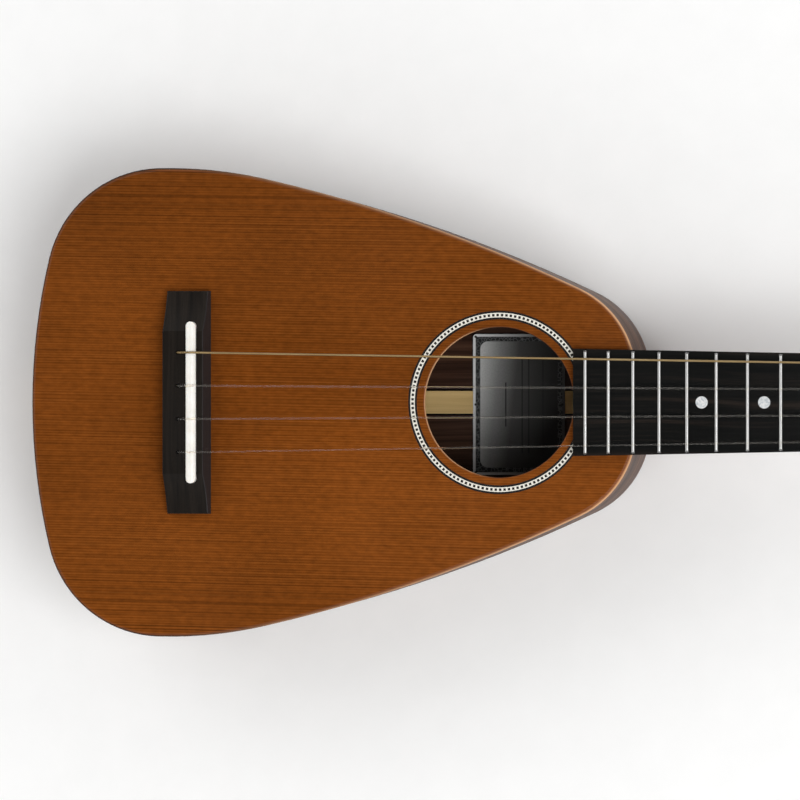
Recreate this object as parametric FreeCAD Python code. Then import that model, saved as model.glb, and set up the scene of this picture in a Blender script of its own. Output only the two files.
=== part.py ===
"""Tenor ukulele with a teardrop body, four strings and geared tuners.

Millimetres, +Z up, lying on its back. While it is modelled, X runs from the tail end (0) towards the
head, Y = 0 is the centre line with the fourth (G) string at +Y, and Z = 0 is the outside of the back.
save() moves every piece so that the origin is the middle of the back's flat face.
"""

import FreeCAD, Part
import math
import os

from FreeCAD import Vector

# ---- scale, strings and heights ----
SCALE = 431.8                     # nut to theoretical saddle, 17 inches
NUT_X = 509.4                     # front face of the nut
FRET_COUNT = 16
STRING_NAMES = ("g", "c", "e", "a")
STRING_DIAMETER = {"g": 0.95, "c": 0.90, "e": 0.80, "a": 0.66}
STRING_SPACING_SADDLE = 14.7
STRING_SPACING_NUT = 9.5
BODY_DEPTH = 70.0                 # outside of the back to the top of the soundboard

# ---- body ----
BODY_ARCS = ((274.0, 13.6), (52.0, 75.2), (196.0, 14.4), (694.0, 12.3), (43.0, 64.5))  # radius, sweep
SOUNDBOARD_T = 2.0
BACK_T = 2.2
SIDE_T = 2.0
TOP_ROUND = 1.8                   # round-over of the soundboard's edge
BACK_ROUND = 1.6
GRAFT_WIDTH = 8.0
INLAY_WIDTH, INLAY_DEPTH = 3.0, 1.1
INNER_STRIP_WIDTH, INNER_STRIP_T = 10.3, 1.0
HOLE_X, HOLE_R, HOLE_ROUND = 210.3, 33.0, 0.6
ROSETTE_INNER_R, ROSETTE_OUTER_R = 36.5, 40.3
ROSETTE_LINE, ROSETTE_DEPTH = 0.75, 1.0

# ---- inside the body ----
LINING_T, LINING_H, LINING_FOOT = 5.0, 9.0, 1.2
KERF_PITCH, KERF_WIDTH, KERF_FLOOR = 7.0, 1.0, 1.2
NECK_BLOCK_X, NECK_BLOCK_HALF = 246.0, 28.0
TAIL_BLOCK_X, TAIL_BLOCK_HALF = 15.0, 26.0
TENON_X, TENON_HALF, TENON_LOW, TENON_HIGH = 257.0, 9.0, 8.0, 64.0
TENON_OVERLAP = 6.0               # how far the tenon runs into the heel
FEATHER = 3.5                     # length of a brace's feathered end, in heights of the brace
RIDGE_ROUND = 0.3                 # rounding of a brace's ridge, in thicknesses of the brace
BRACE_GAP = 0.5                   # between a brace's end and what it points at
FACE_BRACE_X, FACE_BRACE_T, FACE_BRACE_H, FACE_BRACE_END_H = 161.0, 7.0, 9.0, 2.0
STRUT_Y, STRUT_T, STRUT_H, STRUT_END_H, STRUT_SHORT = 45.0, 5.0, 4.5, 1.2, 26.0
FAN_T, FAN_H, FAN_END_H, FAN_TAIL_X, FAN_PITCH, FAN_SPREAD = 5.0, 6.0, 1.5, 24.0, 31.0, 11.0
BACK_BRACE_XS, BACK_BRACE_T, BACK_BRACE_H, BACK_BRACE_END_H = (50.0, 104.0, 158.0), 7.0, 9.0, 2.0
PATCH_X, PATCH_LENGTH, PATCH_HALF, PATCH_T = 56.0, 32.0, 52.0, 2.0
LABEL_X, LABEL_LENGTH, LABEL_HALF, LABEL_T, LABEL_CORNER = 190.0, 42.0, 32.0, 0.4, 1.5
LABEL_Y = -1.0                    # the label sits a little towards the treble side

# ---- bridge and saddle ----
BRIDGE_X, BRIDGE_WIDTH, BRIDGE_HALF = 61.1, 20.4, 49.4
BRIDGE_H, BRIDGE_TIP_H, BRIDGE_BLOCK_HALF = 8.0, 3.0, 31.6
BRIDGE_SCOOP, BRIDGE_ROUND = 0.9, 0.5         # hollow of each wing's top, rounding of the upper edges
BRIDGE_RAKE, BRIDGE_TAIL_TAPER = 2.1, 1.3
STRING_HOLE_X, STRING_HOLE_R = 67.9, 0.8
SADDLE_X, SADDLE_T, SADDLE_HALF = 74.1, 4.4, 35.7
SADDLE_TOP, SADDLE_SLOT, SADDLE_CROWN_R = 10.5, 4.0, 2.6

# ---- fretboard, frets, dots and nut ----
BOARD_END_X, BOARD_T, BOARD_ROUND = 243.5, 5.0, 0.5
BOARD_HALF_END, BOARD_HALF_NUT = 23.5, 18.0
FRET_WIDTH, FRET_H, FRET_INSET, FRET_BEVEL = 1.6, 0.95, 0.7, 0.7
TANG_WIDTH, TANG_DEPTH, FRET_SLOT_DEPTH = 0.5, 1.6, 1.8
DOT_FRETS, DOT_R, DOT_T = (5, 7, 10, 12), 2.65, 1.2
SIDE_DOT_R, SIDE_DOT_DEPTH = 0.9, 2.0
NUT_T, NUT_H, NUT_ROUND, NUT_STRING_H, NUT_SLOT_CLEARANCE = 5.0, 7.6, 1.6, 6.5, 0.08

# ---- neck: depths are under the soundboard's plane ----
SHAFT_DEPTH_HEEL, SHAFT_DEPTH_NUT = 14.8, 12.5
HEEL_ROOT_X, HEEL_ROOT_DEPTH = 262.0, 86.0    # inside the body, where it is cut away
HEEL_RUN_X, HEEL_HOLLOW_R = 313.0, 27.0       # start and radius of the hollow between shaft and heel
HEEL_NOSE_LENGTH, HEEL_NOSE_DEPTH = 4.0, 80.0
HEEL_CAP_T = 2.0
HEEL_STEPS, SECTION_STEPS = 9, 18

# ---- headstock, in its own tilted frame: u along it, w out of its face ----
HEAD_TILT = math.radians(13.0)
HEAD_T, VENEER_T, HEAD_LENGTH = 13.0, 1.6, 103.5
HEAD_HALF = ((-6.0, 18.15), (2.0, 18.4), (12.0, 21.2), (24.0, 27.0), (34.0, 28.2), (55.0, 27.2),
             (78.0, 26.2), (95.0, 27.4))      # half-widths along the side
HEAD_SHOULDER = (98.5, 14.0)                  # a point on the curved top, halfway to the crest
HEAD_BLEND, HEAD_FLARE, HEAD_SWELL = 30.0, 18.0, 24.0     # growth of the neck's section into the head
OVAL, SQUARENESS, HEAD_STEPS = 2.0, 4.0, 10   # the section's power: oval along the shaft, squarer at the head

# ---- tuners: u along the head, y outward and w from the post; w = 0 is the headstock's back ----
POST_U = {"g": 30.0, "c": 68.0, "e": 68.0, "a": 30.0}
POST_Y = 17.0
TEETH, MODULE = 14, 0.65
GEAR_ADDENDUM, GEAR_DEDENDUM, GEAR_T = 0.62, 0.80, 3.0
TOOTH_HALF_ROOT, TOOTH_HALF_PITCH, TOOTH_HALF_TIP = 0.62, 0.40, 0.20
WORM_R, WORM_OUTER_R, WORM_CORE_R, WORM_TURNS = 2.5, 3.1, 1.75, 3
THREAD_HALF_ROOT, THREAD_HALF_TIP, THREAD_SUNK = 0.56, 0.19, 0.15
WORM_BACKLASH, WORM_DEPTH, WORM_ROOM = 0.1, 4.6, 0.25
SHAFT_R, SHAFT_CLEARANCE, SHAFT_IN_BUTTON = 1.5, 0.06, 7.0
COLLAR_RISE, COLLAR_LENGTH, END_PLAY = 0.7, 0.8, 0.1
PLATE_T, PLATE_LOW_U, PLATE_HIGH_U, PLATE_HALF, PLATE_CORNER = 1.2, -16.6, 12.0, 6.4, 4.8
EAR_INNER, EAR_T, EAR_HALF = 3.9, 1.3, 3.1
SCREW_US, SCREW_R, SCREW_LENGTH, SCREW_HOLE_EXTRA = (-13.6, 9.0), 1.0, 7.5, 0.5
SCREW_HEAD_R, SCREW_HEAD_H = 1.9, 1.0
CROSS_HALF_LENGTH, CROSS_HALF_WIDTH, CROSS_DEPTH = 1.1, 0.25, 0.55
POST_R, POST_WAIST_R, POST_TAIL_R, POST_TOP_W = 3.0, 2.5, 1.9, 14.5
POST_WAIST_LOW, POST_WAIST_HIGH, POST_WAIST_SLOPE, POST_CHAMFER = 3.5, 12.4, 0.45, 0.8
POST_HOLE_W, POST_HOLE_R = 7.9, 0.75
BUSH_R, BUSH_DEPTH, BUSH_CLEARANCE = 4.5, 7.0, 0.08
BUSH_FLANGE_R, BUSH_FLANGE_T, BUSH_ROUND = 5.6, 1.4, 0.7
GEAR_SCREW_R, GEAR_SCREW_LENGTH, GEAR_SCREW_HOLE = 1.0, 5.5, 6.0
GEAR_SCREW_HEAD_R, GEAR_SCREW_HEAD_H, GEAR_SCREW_ROUND = 2.3, 1.3, 0.5
GEAR_SLOT_HALF, GEAR_SLOT_DEPTH = 0.3, 0.6
BUTTON_START, BUTTON_LENGTH, BUTTON_HALF_U, BUTTON_T, BUTTON_ROUND = 12.6, 17.0, 8.0, 7.0, 2.5
BUTTON_COLLAR_R, BUTTON_COLLAR_L, BUTTON_COLLAR_SUNK = 3.0, 2.6, 1.5

# ---- how the strings lie ----
WRAP_W, WRAP_TURNS, WRAP_TAIL = 6.6, 2.5, 5.5   # height on the post, turns, reach of the clipped end
WRAP_GAP = 0.04                   # between neighbouring turns
STRING_GAP = 0.02                 # between a string and what it lies on
WRAP_CLEARANCE = 0.1              # between a string's free run and its turning winding
KNOT_R, KNOT_DROP = 1.7, 1.2      # the knot, and where the string ends in it, under the patch
STRING_EXIT_RISE = 0.9            # above the bridge's top where the string turns out of its hole
SADDLE_RISE = 0.13                # lifts the bend so that its arc clears the saddle
NUT_REST = 1.0                    # behind the nut's front face
STRING_BEND_RADII = (1.5, 3.2, 5.0)   # at the bridge's hole, the saddle and the nut

# ---- derived ----
TOP_Z = BODY_DEPTH
INNER_TOP_Z = BODY_DEPTH - SOUNDBOARD_T
BOARD_Z = BODY_DEPTH + BOARD_T
FACE_X = NUT_X + NUT_T            # where the headstock's face starts, behind the nut
WORM_PITCH = math.pi * MODULE
GEAR_R = TEETH * MODULE / 2
WORM_U = -(GEAR_R + WORM_R + WORM_BACKLASH)
GEAR_LOW = -WORM_DEPTH - GEAR_T / 2

BIG = 400.0                       # beyond every piece
OVER = 1.0                        # how far a cutter runs past the face that it cuts
NEAR = 0.01                       # two places closer than this are the same
UP, OUT, ALONG = Vector(0, 0, 1), Vector(0, 1, 0), Vector(1, 0, 0)
ORIGIN = Vector(0, 0, 0)


# ---- small helpers ----
def box(x0, x1, y0, y1, z0, z1):
    return Part.makeBox(x1 - x0, y1 - y0, z1 - z0, Vector(x0, y0, z0))


def slab(z0, z1):
    return box(-BIG, 2 * BIG, -BIG, BIG, z0, z1)


def half_space(sign):
    """Everything on the +Y or -Y side of the centre line."""
    return box(-BIG, 2 * BIG, min(0, sign * BIG), max(0, sign * BIG), -BIG, BIG)


def pin(radius, x, y, z0, z1):
    """An upright cylinder."""
    return Part.makeCylinder(radius, z1 - z0, Vector(x, y, z0))


def rod(radius, start, direction, length):
    return Part.makeCylinder(radius, length, start, direction)


def ring(inner, outer, z0, z1):
    return pin(outer, HOLE_X, 0, z0, z1).cut(pin(inner, HOLE_X, 0, z0, z1))


def mirrored(shape):
    return shape.mirror(ORIGIN, OUT)


def polygon_prism(points, extrusion):
    return Part.Face(Part.makePolygon(points + points[:1])).extrude(extrusion)


def arc(first, middle, last):
    return Part.Arc(first, middle, last).toShape()


def line(first, last):
    return Part.LineSegment(first, last).toShape()


def edges_at(shape, z):
    """The edges that lie flat at one height."""
    return [e for e in shape.Edges if abs(e.BoundBox.ZMin - z) < NEAR and abs(e.BoundBox.ZMax - z) < NEAR]


def upright_edges(shape):
    return [e for e in shape.Edges if e.BoundBox.ZLength > NEAR]


# ---- body outline: tangent arcs, so an inset outline has the same centres and smaller radii ----
def outline_stations(inset):
    """(centre, radius, start heading, sweep) of each arc on the +Y side, in order from the tail."""
    heading, x, y = math.pi / 2, 0.0, 0.0
    stations = []
    for radius, sweep in BODY_ARCS:
        turn = math.radians(sweep)
        cx, cy = x + radius * math.sin(heading), y - radius * math.cos(heading)
        stations.append((Vector(cx, cy, 0), radius - inset, heading, turn))
        heading -= turn
        x, y = cx - radius * math.sin(heading), cy + radius * math.cos(heading)
    return stations


def on_arc(centre, radius, heading, z=0.0):
    return Vector(centre.x - radius * math.sin(heading), centre.y + radius * math.cos(heading), z)


def body_length():
    centre, radius, heading, turn = outline_stations(0.0)[-1]
    return on_arc(centre, radius, heading - turn).x


def half_edges(inset, z):
    """The +Y half of the outline, with the straight end at the neck."""
    edges = []
    for centre, radius, heading, turn in outline_stations(inset):
        places = [on_arc(centre, radius, heading - turn * share, z) for share in (0, 0.5, 1)]
        edges.append(arc(*places))
    edges.append(line(places[-1], Vector(places[-1].x, 0, z)))
    return edges


def outline_wire(inset, z):
    edges = half_edges(inset, z)
    return Part.Wire(Part.__sortEdges__(edges + [mirrored(edge) for edge in edges]))


def body_prism(inset, z0, z1):
    return Part.Face(outline_wire(inset, z0)).extrude(Vector(0, 0, z1 - z0))


def rounded_body():
    """The whole body as one block, with its two edges rounded over."""
    solid = body_prism(0.0, 0.0, TOP_Z)
    solid = solid.makeFillet(TOP_ROUND, edges_at(solid, TOP_Z))
    return solid.makeFillet(BACK_ROUND, edges_at(solid, 0.0))


# ---- soundboard, rosette, back and sides ----
def string_y(name, spacing):
    return (1.5 - STRING_NAMES.index(name)) * spacing


def string_holes(z0, z1):
    places = [string_y(name, STRING_SPACING_SADDLE) for name in STRING_NAMES]
    return Part.makeCompound([pin(STRING_HOLE_R, STRING_HOLE_X, y, z0, z1) for y in places])


def make_soundboard(block):
    board = block.common(slab(INNER_TOP_Z, TOP_Z + OVER))
    board = board.cut(pin(HOLE_R, HOLE_X, 0, INNER_TOP_Z - OVER, TOP_Z + OVER))
    board = board.cut(ring(ROSETTE_INNER_R, ROSETTE_OUTER_R, TOP_Z - ROSETTE_DEPTH, TOP_Z + OVER))
    board = board.cut(string_holes(INNER_TOP_Z - OVER, TOP_Z + OVER))
    circles = [e for e in edges_at(board, TOP_Z) if isinstance(e.Curve, Part.Circle)]
    return board.makeFillet(HOLE_ROUND, [e for e in circles if abs(e.Curve.Radius - HOLE_R) < NEAR])


def make_rosette():
    """Two thin rings as one pair, and the wider ring between them."""
    low = TOP_Z - ROSETTE_DEPTH
    band_inner, band_outer = ROSETTE_INNER_R + ROSETTE_LINE, ROSETTE_OUTER_R - ROSETTE_LINE
    inner = ring(ROSETTE_INNER_R, band_inner, low, TOP_Z)
    outer = ring(band_outer, ROSETTE_OUTER_R, low, TOP_Z)
    return Part.makeCompound([inner, outer]), ring(band_inner, band_outer, low, TOP_Z)


def make_back(block):
    plate = block.common(slab(-OVER, BACK_T))
    half = INLAY_WIDTH / 2
    inlay = plate.common(box(-OVER, BIG, -half, half, -OVER, INLAY_DEPTH))
    plate = plate.cut(inlay)
    return plate.common(half_space(1)), plate.common(half_space(-1)), inlay


def tenon():
    return box(TENON_X, body_length() + TENON_OVERLAP, -TENON_HALF, TENON_HALF, TENON_LOW, TENON_HIGH)


def make_sides(block):
    wall = block.common(slab(BACK_T, INNER_TOP_Z))
    wall = wall.cut(body_prism(SIDE_T, BACK_T - OVER, INNER_TOP_Z + OVER))
    tail = box(-OVER, 2 * SIDE_T, -GRAFT_WIDTH / 2, GRAFT_WIDTH / 2, 0, TOP_Z)
    graft = wall.common(tail)
    wall = wall.cut(tail).cut(tenon())
    return wall.common(half_space(1)), wall.common(half_space(-1)), graft


# ---- inside the body ----
def kerf_slots(z0, z1):
    """Thin boxes across the +Y lining, square to the outline, one every KERF_PITCH along it."""
    slots = []
    half = KERF_WIDTH / 2
    for centre, radius, heading, turn in outline_stations(SIDE_T):
        count = int(radius * turn / KERF_PITCH)
        for k in range(count):
            at = heading - turn * (k + 0.5) / count
            slot = box(-LINING_T - OVER, -KERF_FLOOR, -half, half, z0, z1)
            slot.rotate(ORIGIN, UP, math.degrees(at) + 90)
            slot.translate(on_arc(centre, radius, at))
            slots.append(slot)
    return Part.makeCompound(slots)


def make_linings(blocks):
    """Kerfed strips, wedge-shaped in section: one pair under the soundboard, one pair on the back."""
    pairs = []
    for glue_z, tip_z in ((INNER_TOP_Z, INNER_TOP_Z - LINING_H), (BACK_T, BACK_T + LINING_H)):
        low, high = min(glue_z, tip_z), max(glue_z, tip_z)
        wide = outline_wire(SIDE_T + LINING_T, glue_z)
        narrow = outline_wire(SIDE_T + LINING_FOOT, tip_z)
        half = body_prism(SIDE_T, low, high).cut(Part.makeLoft([wide, narrow], True, True))
        half = half.common(half_space(1)).cut(kerf_slots(low - OVER, high + OVER))
        for block in blocks:
            half = half.cut(block)
        half = max(half.Solids, key=lambda solid: solid.Volume)
        pairs.append(Part.makeCompound([half, mirrored(half)]))
    return pairs


def make_blocks():
    room = body_prism(SIDE_T, BACK_T, INNER_TOP_Z)
    neck_block = room.common(box(NECK_BLOCK_X, BIG, -NECK_BLOCK_HALF, NECK_BLOCK_HALF, 0, TOP_Z))
    tail_block = room.common(box(0, TAIL_BLOCK_X, -TAIL_BLOCK_HALF, TAIL_BLOCK_HALF, 0, TOP_Z))
    return neck_block.cut(tenon()), tail_block


def feathered_bar(length, thickness, height, end_height):
    """A brace along Y, glued at z = 0 and standing up, with its ends feathered down."""
    half = length / 2
    flat = half - FEATHER * height
    profile = ((-half, 0), (-half, end_height), (-flat, height),
               (flat, height), (half, end_height), (half, 0))
    bar = polygon_prism([Vector(-thickness / 2, y, z) for y, z in profile], Vector(thickness, 0, 0))
    slopes = [e for e in bar.Edges if e.BoundBox.XLength < NEAR and e.BoundBox.ZMin > end_height - NEAR]
    return bar.makeFillet(thickness * RIDGE_ROUND, [e for e in slopes if e.BoundBox.ZMax > end_height + NEAR])


def brace_across(x, thickness, height, end_height):
    """A brace that spans the body at x, less the linings."""
    inside = body_prism(SIDE_T + LINING_T, 0, 1)
    reach = []
    for face in (x - thickness / 2, x + thickness / 2):
        reach.append(inside.common(box(face - NEAR, face + NEAR, -BIG, BIG, 0, 1)).BoundBox.YMax)
    return feathered_bar(2 * (min(reach) - BRACE_GAP), thickness, height, end_height)


def hung_from_top(bar, x, y=0.0):
    bar.rotate(ORIGIN, ALONG, 180)
    bar.translate(Vector(x, y, INNER_TOP_Z))
    return bar


def brace_along(length, thickness, height, end_height, tail_x, y):
    """A brace under the soundboard that runs along X from tail_x."""
    bar = feathered_bar(length, thickness, height, end_height)
    bar.rotate(ORIGIN, UP, 90)
    return hung_from_top(bar, tail_x + length / 2, y)


def make_patch():
    low = INNER_TOP_Z - PATCH_T
    patch = box(PATCH_X, PATCH_X + PATCH_LENGTH, -PATCH_HALF, PATCH_HALF, low, INNER_TOP_Z)
    return patch.cut(string_holes(low - OVER, INNER_TOP_Z + OVER))


def make_face_braces():
    """The bar across the soundboard, and a strut each side of the soundhole."""
    bar = brace_across(FACE_BRACE_X, FACE_BRACE_T, FACE_BRACE_H, FACE_BRACE_END_H)
    start = FACE_BRACE_X + FACE_BRACE_T / 2 + BRACE_GAP
    length = NECK_BLOCK_X - start - STRUT_SHORT
    strut = brace_along(length, STRUT_T, STRUT_H, STRUT_END_H, start, STRUT_Y)
    return Part.makeCompound([hung_from_top(bar, FACE_BRACE_X), strut, mirrored(strut)])


def make_fan_braces(patch):
    """Three braces that spread from the face brace towards the tail, let over the bridge's patch."""
    end = FACE_BRACE_X - FACE_BRACE_T / 2
    keep = box(0, end, -BIG, BIG, 0, TOP_Z)
    length = end - FAN_TAIL_X - BRACE_GAP
    fans = []
    for side in (-1, 0, 1):
        y = side * FAN_PITCH
        fan = brace_along(length, FAN_T, FAN_H, FAN_END_H, FAN_TAIL_X, y)
        fan.rotate(Vector(FAN_TAIL_X + length, y, 0), UP, -side * FAN_SPREAD)
        fans.append(fan.common(keep).cut(patch))
    return Part.makeCompound(fans)


def make_back_braces():
    braces = []
    for x in BACK_BRACE_XS:
        bar = brace_across(x, BACK_BRACE_T, BACK_BRACE_H, BACK_BRACE_END_H)
        bar.translate(Vector(x, 0, BACK_T))
        braces.append(bar)
    return Part.makeCompound(braces)


def make_inner_strip():
    """The strip that covers the back's joint, in lengths between the back's braces."""
    half = INNER_STRIP_WIDTH / 2
    top = BACK_T + INNER_STRIP_T
    strip = box(TAIL_BLOCK_X, NECK_BLOCK_X, -half, half, BACK_T, top)
    for x in BACK_BRACE_XS:
        strip = strip.cut(box(x - BACK_BRACE_T / 2, x + BACK_BRACE_T / 2, -BIG, BIG, 0, top + OVER))
    return strip


def make_label():
    low = BACK_T + INNER_STRIP_T
    right, left = LABEL_Y - LABEL_HALF, LABEL_Y + LABEL_HALF
    card = box(LABEL_X, LABEL_X + LABEL_LENGTH, right, left, low, low + LABEL_T)
    return card.makeFillet(LABEL_CORNER, upright_edges(card))


# ---- bridge and saddle ----
def bridge_profile():
    """The bridge seen along the strings: a flat block with a hollowed wing on each side."""
    foot, tip = Vector(BRIDGE_X, -BRIDGE_HALF, 0), Vector(BRIDGE_X, -BRIDGE_HALF, BRIDGE_TIP_H)
    shoulder = Vector(BRIDGE_X, -BRIDGE_BLOCK_HALF, BRIDGE_H)
    hollow = (tip + shoulder) * 0.5 - Vector(0, 0, BRIDGE_SCOOP)
    half = [line(foot, tip), arc(tip, hollow, shoulder), line(shoulder, Vector(BRIDGE_X, 0, BRIDGE_H))]
    base = line(foot, Vector(BRIDGE_X, BRIDGE_HALF, 0))
    return Part.Wire(Part.__sortEdges__(half + [mirrored(edge) for edge in half] + [base]))


def slot_shape(z0, z1):
    """A bar along Y with round ends, on the saddle's line."""
    half_t = SADDLE_T / 2
    straight = SADDLE_HALF - half_t
    solid = box(SADDLE_X - half_t, SADDLE_X + half_t, -straight, straight, z0, z1)
    for y in (-straight, straight):
        solid = solid.fuse(pin(half_t, SADDLE_X, y, z0, z1))
    return solid.removeSplitter()


def make_bridge():
    bridge = Part.Face(bridge_profile()).extrude(Vector(BRIDGE_WIDTH, 0, 0))
    head_x, past = BRIDGE_X + BRIDGE_WIDTH, BRIDGE_H + OVER
    rake = ((head_x, 0), (head_x - BRIDGE_RAKE, BRIDGE_H), (head_x + OVER, past), (head_x + OVER, 0))
    bridge = bridge.cut(polygon_prism([Vector(x, -BIG, z) for x, z in rake], Vector(0, 2 * BIG, 0)))
    for side in (-1, 1):
        block_y, tip_y = side * BRIDGE_BLOCK_HALF, side * (BRIDGE_HALF + OVER)
        taper = ((BRIDGE_X, block_y), (BRIDGE_X - OVER, block_y), (BRIDGE_X - OVER, tip_y),
                 (BRIDGE_X + BRIDGE_TAIL_TAPER, tip_y))
        bridge = bridge.cut(polygon_prism([Vector(x, y, -OVER) for x, y in taper], Vector(0, 0, past + OVER)))
    upper = [e for e in bridge.Edges if e.BoundBox.ZMin > BRIDGE_TIP_H - NEAR]
    bridge = bridge.makeFillet(BRIDGE_ROUND, upper)
    bridge.translate(Vector(0, 0, TOP_Z))
    bridge = bridge.cut(slot_shape(TOP_Z + BRIDGE_H - SADDLE_SLOT, TOP_Z + past))
    return bridge.cut(string_holes(TOP_Z - OVER, TOP_Z + past))


def make_saddle():
    """A bone blade with its top rounded over, fitted in the bridge's slot."""
    top = TOP_Z + SADDLE_TOP
    axis_z = top - SADDLE_CROWN_R
    blade = slot_shape(TOP_Z + BRIDGE_H - SADDLE_SLOT, top + OVER)
    crown = rod(SADDLE_CROWN_R, Vector(SADDLE_X, -BIG, axis_z), OUT, 2 * BIG)
    stem = box(SADDLE_X - SADDLE_T, SADDLE_X + SADDLE_T, -BIG, BIG, 0, axis_z)
    return blade.common(crown.fuse(stem))


# ---- fretboard, frets, dots and nut ----
def board_half(x):
    share = (x - BOARD_END_X) / (NUT_X - BOARD_END_X)
    return BOARD_HALF_END + (BOARD_HALF_NUT - BOARD_HALF_END) * share


def fret_x(number):
    return NUT_X - SCALE + SCALE / 2 ** (number / 12)


def dot_x(number):
    return (fret_x(number) + fret_x(number - 1)) / 2


def make_board_blank():
    plan = ((BOARD_END_X, -BOARD_HALF_END), (NUT_X, -BOARD_HALF_NUT), (NUT_X, BOARD_HALF_NUT),
            (BOARD_END_X, BOARD_HALF_END))
    board = polygon_prism([Vector(x, y, TOP_Z) for x, y in plan], Vector(0, 0, BOARD_T))
    rim = [e for e in edges_at(board, BOARD_Z) if e.BoundBox.XMin < NUT_X - OVER]
    board = board.makeFillet(BOARD_ROUND, rim)
    half = TANG_WIDTH / 2
    for number in range(1, FRET_COUNT + 1):
        x = fret_x(number)
        board = board.cut(box(x - half, x + half, -BIG, BIG, BOARD_Z - FRET_SLOT_DEPTH, BOARD_Z + OVER))
    return board


def make_fretboard():
    """The slotted board, the dots in its face and the dots in its bass edge."""
    board = make_board_blank()
    dots, side_dots = [], []
    for number in DOT_FRETS:
        x = dot_x(number)
        dots.append(pin(DOT_R, x, 0, BOARD_Z - DOT_T, BOARD_Z))
        start = Vector(x, board_half(x) - SIDE_DOT_DEPTH, TOP_Z + BOARD_T / 2)
        side_dots.append(rod(SIDE_DOT_R, start, OUT, 2 * SIDE_DOT_DEPTH).common(board))
    dots, side_dots = Part.makeCompound(dots), Part.makeCompound(side_dots)
    return board.cut(dots).cut(side_dots), dots, side_dots


def make_fret(number):
    """A crown that is part of a circle in section, with bevelled ends, on its tang."""
    x = fret_x(number)
    half = board_half(x) - FRET_INSET
    top = BOARD_Z + FRET_H
    crown_r = (FRET_WIDTH ** 2 / 4 + FRET_H ** 2) / (2 * FRET_H)
    crown = rod(crown_r, Vector(x, -half, top - crown_r), OUT, 2 * half)
    bevelled = ((-half, BOARD_Z), (half, BOARD_Z), (half - FRET_BEVEL, top), (FRET_BEVEL - half, top))
    ends = [Vector(x - FRET_WIDTH, y, z) for y, z in bevelled]
    crown = crown.common(polygon_prism(ends, Vector(2 * FRET_WIDTH, 0, 0)))
    tang_half = TANG_WIDTH / 2
    tang = box(x - tang_half, x + tang_half, -half, half, BOARD_Z - TANG_DEPTH, BOARD_Z + FRET_H / 3)
    return crown.fuse(tang).removeSplitter()


def nut_slot(name):
    """A string's slot: square to the nut at the front, then in line with the run to the post."""
    half = STRING_DIAMETER[name] / 2 + NUT_SLOT_CLEARANCE
    nut, end = string_route(name)[3:]
    front = box(NUT_X - OVER, nut.x, nut.y - half, nut.y + half, nut.z - half, nut.z + NUT_H)
    run = box(-half, 3 * NUT_T, -half, half, -half, NUT_H)
    run.Placement = FreeCAD.Placement(nut, FreeCAD.Rotation(ALONG, end - nut))
    return front.fuse(run)


def make_nut():
    top = TOP_Z + NUT_H
    nut = box(NUT_X, FACE_X, -BOARD_HALF_NUT, BOARD_HALF_NUT, TOP_Z, top)
    nut = nut.makeFillet(NUT_ROUND, [e for e in edges_at(nut, top) if e.BoundBox.XMin > FACE_X - NEAR])
    for name in STRING_NAMES:
        nut = nut.cut(nut_slot(name))
    return nut


# ---- neck: one loft for the shaft, heel and head's start, trimmed by the head's planes and plan ----
def head_point(u, y, w):
    """A point in the headstock's tilted frame, whose origin is its face just behind the nut."""
    c, s = math.cos(HEAD_TILT), math.sin(HEAD_TILT)
    return Vector(FACE_X + u * c + w * s, y, TOP_Z - u * s + w * c)


def shaft_depth(x):
    share = (NUT_X - x) / (NUT_X - HEEL_RUN_X)
    return SHAFT_DEPTH_NUT + (SHAFT_DEPTH_HEEL - SHAFT_DEPTH_NUT) * share


def back_plane_start():
    """Where the flat back of the head meets the underside of the neck."""
    return FACE_X - (HEAD_T / math.cos(HEAD_TILT) - SHAFT_DEPTH_NUT) / math.tan(HEAD_TILT)


def neck_stations():
    """(x, half-width, depth, power) of the neck's sections, from inside the body to the head's tip."""
    nose_x = HEEL_RUN_X - HEEL_HOLLOW_R - HEEL_NOSE_LENGTH
    stations = [(HEEL_ROOT_X, board_half(HEEL_ROOT_X), HEEL_ROOT_DEPTH, OVAL),
                (nose_x, board_half(nose_x), HEEL_NOSE_DEPTH, OVAL)]
    for k in range(HEEL_STEPS + 1):
        angle = math.pi / 2 * (1 - k / HEEL_STEPS)
        x = HEEL_RUN_X - HEEL_HOLLOW_R * math.sin(angle)
        hollow = HEEL_HOLLOW_R * (1 - math.cos(angle))
        stations.append((x, board_half(x), shaft_depth(x) + hollow, OVAL))
    for k in range(HEAD_STEPS + 1):
        t = k / HEAD_STEPS
        half, depth = BOARD_HALF_NUT + HEAD_FLARE * t ** 1.5, SHAFT_DEPTH_NUT + HEAD_SWELL * t
        stations.append((back_plane_start() + HEAD_BLEND * t, half, depth, OVAL + SQUARENESS * t ** 2))
    stations.append((FACE_X + HEAD_LENGTH, half, depth + HEAD_SWELL, OVAL + SQUARENESS))
    return stations


def neck_section(x, half, depth, power):
    """A flat-topped section: a half ellipse at power 2, squarer as the power grows."""
    points = []
    for k in range(SECTION_STEPS + 1):
        angle = math.pi * k / SECTION_STEPS
        c, s = math.cos(angle), max(0.0, math.sin(angle))
        across = math.copysign(abs(c) ** (2 / power), c) * half
        points.append(Vector(x, across, TOP_Z - depth * s ** (2 / power)))
    curve = Part.BSplineCurve()
    curve.interpolate(points)
    return Part.Wire([curve.toShape(), line(points[-1], points[0])])


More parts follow.
